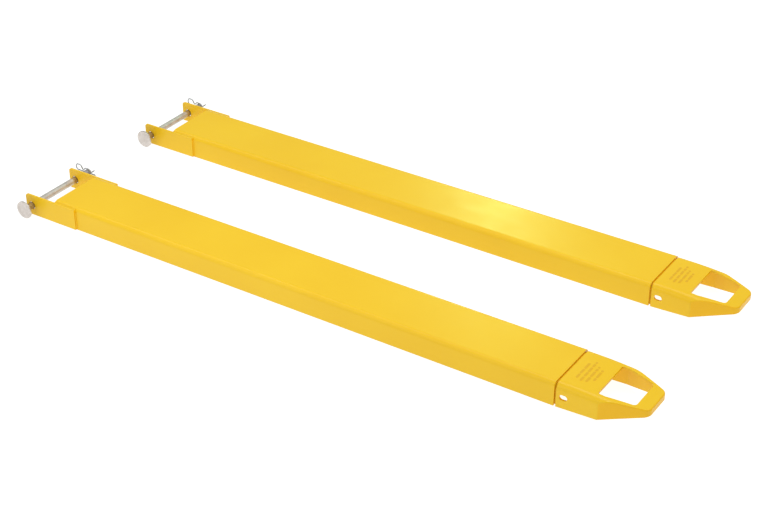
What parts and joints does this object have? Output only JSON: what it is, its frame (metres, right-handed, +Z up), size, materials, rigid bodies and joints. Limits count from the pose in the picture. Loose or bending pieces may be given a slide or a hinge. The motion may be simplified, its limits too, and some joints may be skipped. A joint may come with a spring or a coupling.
{
  "type": "pallet fork extension pair",
  "caption": "Pair of slip-on steel channels that lengthen a lift truck's forks, with tapered windowed noses and locking pins.",
  "frame": {"origin": "middle of the pair's box, on the floor", "axes": "+X along the channels towards the noses, +Y from the right extension to the left one, +Z up"},
  "size_m": [1.6308, 0.6672, 0.0565],
  "materials": {
    "yellow_paint": "glossy powder coat with light wear on its edges",
    "zinc_pin": "dull zinc plate",
    "zinc_disc": "pale zinc plate",
    "spring_wire": "plated spring wire"
  },
  "bodies": {
    "right_extension": {"right_channel": "yellow_paint", "right_head_ear": "yellow_paint", "right_clip_ear": "yellow_paint", "right_ear_welds": "yellow_paint", "right_joint_strip": "yellow_paint", "right_nose_hood": "yellow_paint", "right_head_side_cheek": "yellow_paint", "right_clip_side_cheek": "yellow_paint", "right_tip_block": "yellow_paint"},
    "right_pin": {"right_pin_shaft": "zinc_pin", "right_pin_head": "zinc_disc"},
    "right_clip": {"right_hairpin_clip": "spring_wire"},
    "left_extension": {"left_channel": "yellow_paint", "left_head_ear": "yellow_paint", "left_clip_ear": "yellow_paint", "left_ear_welds": "yellow_paint", "left_joint_strip": "yellow_paint", "left_nose_hood": "yellow_paint", "left_head_side_cheek": "yellow_paint", "left_clip_side_cheek": "yellow_paint", "left_tip_block": "yellow_paint"},
    "left_pin": {"left_pin_shaft": "zinc_pin", "left_pin_head": "zinc_disc"},
    "left_clip": {"left_hairpin_clip": "spring_wire"}
  },
  "joints": [
    {"name": "left_spacing", "type": "slide", "parent": "right_extension", "child": "left_extension", "axis": [0, 1, 0], "range_m": [-0.12, 0.4]},
    {"name": "right_pin_slide", "type": "slide", "parent": "right_extension", "child": "right_pin", "axis": [0, 1, 0], "range_m": [-0.0378, 0.0236]},
    {"name": "right_clip_pull", "type": "slide", "parent": "right_pin", "child": "right_clip", "axis": [-1, 0, 0], "range_m": [0, 0.06], "deforming": ["right_hairpin_clip"]},
    {"name": "left_pin_slide", "type": "slide", "parent": "left_extension", "child": "left_pin", "axis": [0, 1, 0], "range_m": [-0.0378, 0.0236]},
    {"name": "left_clip_pull", "type": "slide", "parent": "left_pin", "child": "left_clip", "axis": [-1, 0, 0], "range_m": [0, 0.06], "deforming": ["left_hairpin_clip"]}
  ]
}
